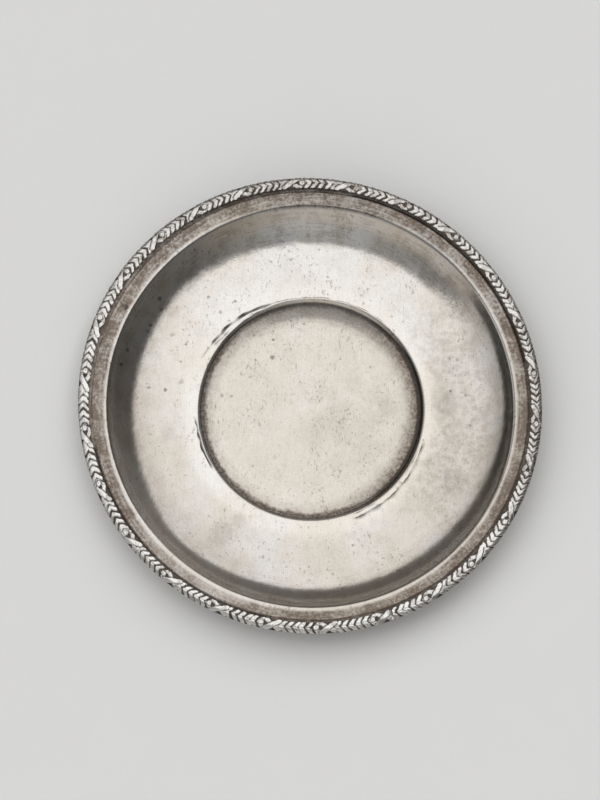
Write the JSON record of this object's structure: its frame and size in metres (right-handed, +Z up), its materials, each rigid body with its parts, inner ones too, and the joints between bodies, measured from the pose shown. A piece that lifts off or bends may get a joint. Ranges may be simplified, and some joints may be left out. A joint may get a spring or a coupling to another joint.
{
  "type": "decorative plate",
  "caption": "Shallow round silver plate with a sunk centre well, curved wall, narrow flange, laurel and crossed-ribbon border and a low foot ring.",
  "frame": {"origin": "middle of the plane that the foot ring stands on, which is the middle of the bottom of the bounding box", "axes": "+Z up through the middle of the plate, +Y towards the far side of the plate in the picture, +X to the right"},
  "size_m": [0.155, 0.155, 0.0129],
  "materials": {
    "dish_silver": "old solid silver, hand-finished, finely scratched, with warm grey-brown tarnish on the flange and round the well",
    "border_silver": "cast and soldered silver wire, polished on its leaves and ribbons and black-brown with oxide in its recesses",
    "foot_silver": "drawn silver strip, tarnished, rubbed bright on the edge that it stands on"
  },
  "bodies": {
    "root": {"dish": "dish_silver", "laurel_border": "border_silver", "foot_ring": "foot_silver"}
  },
  "joints": []
}
